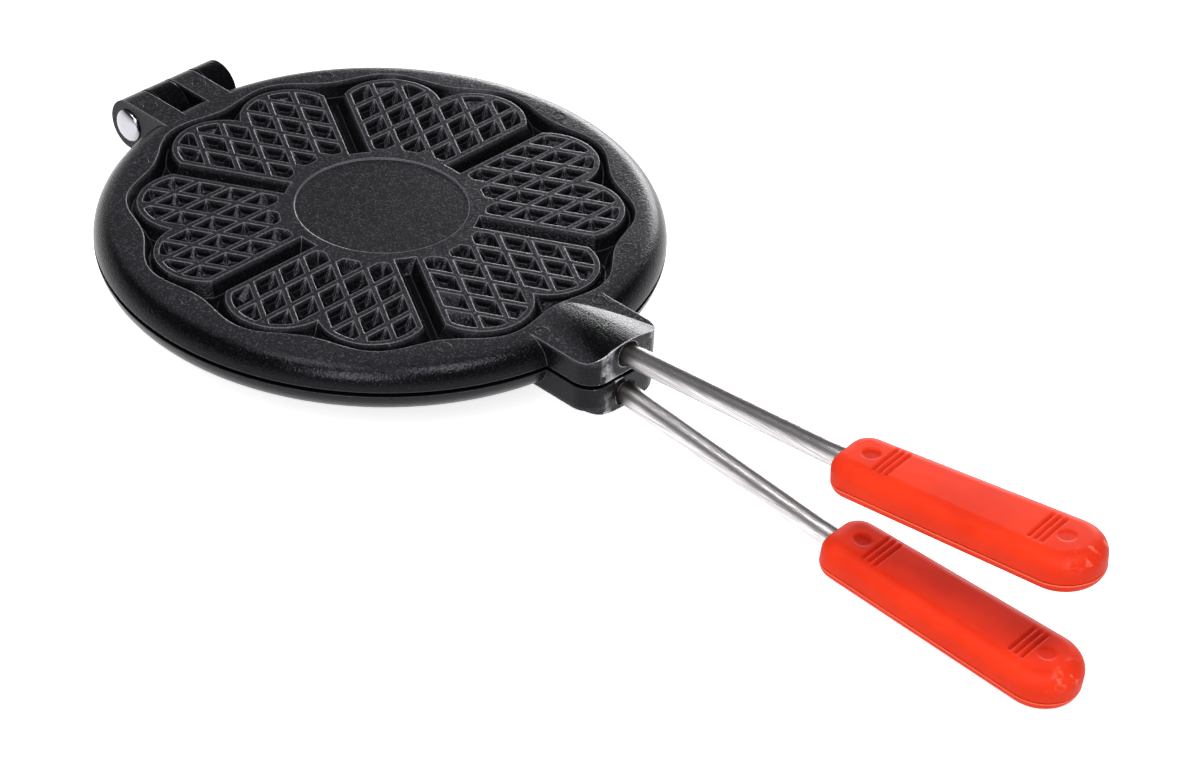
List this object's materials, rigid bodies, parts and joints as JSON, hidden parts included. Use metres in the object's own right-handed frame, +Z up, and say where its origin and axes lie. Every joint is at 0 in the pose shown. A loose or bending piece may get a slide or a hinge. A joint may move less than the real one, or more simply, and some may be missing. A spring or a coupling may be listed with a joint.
{
  "type": "heart waffle iron",
  "caption": "Hand-held stove-top waffle iron: round cast plates with a heart pattern on a pin hinge, each with a steel rod and a moulded grip, open and close like a book.",
  "frame": {"origin": "middle of the round underside that stands on the burner, in the plane of its ribs", "axes": "+X from the hinge to the grips, +Y along the hinge pin away from its head, +Z up through the closed plates"},
  "size_m": [0.489, 0.23, 0.0682],
  "materials": {
    "coated_casting": "cast aluminium with a dark satin non-stick coating, fine grain, edges worn lighter",
    "polished_steel": "polished",
    "rod_steel": "drawn, lightly brushed",
    "dark_sleeve": "matt black",
    "grip_rubber": "satin moulded silicone, orange red"
  },
  "bodies": {
    "lower": {"lower_plate": "coated_casting", "hinge_pin": "polished_steel", "hinge_washer": "polished_steel", "lower_rod": "rod_steel", "lower_sleeve": "dark_sleeve", "lower_grip": "grip_rubber"},
    "upper": {"upper_plate": "coated_casting", "upper_rod": "rod_steel", "upper_sleeve": "dark_sleeve", "upper_grip": "grip_rubber"}
  },
  "joints": [
    {"name": "plate_hinge", "type": "hinge", "parent": "lower", "child": "upper", "pos_m": [-0.127, 0, 0.011], "axis": [0, -1, 0], "range_deg": [0, 180]}
  ]
}
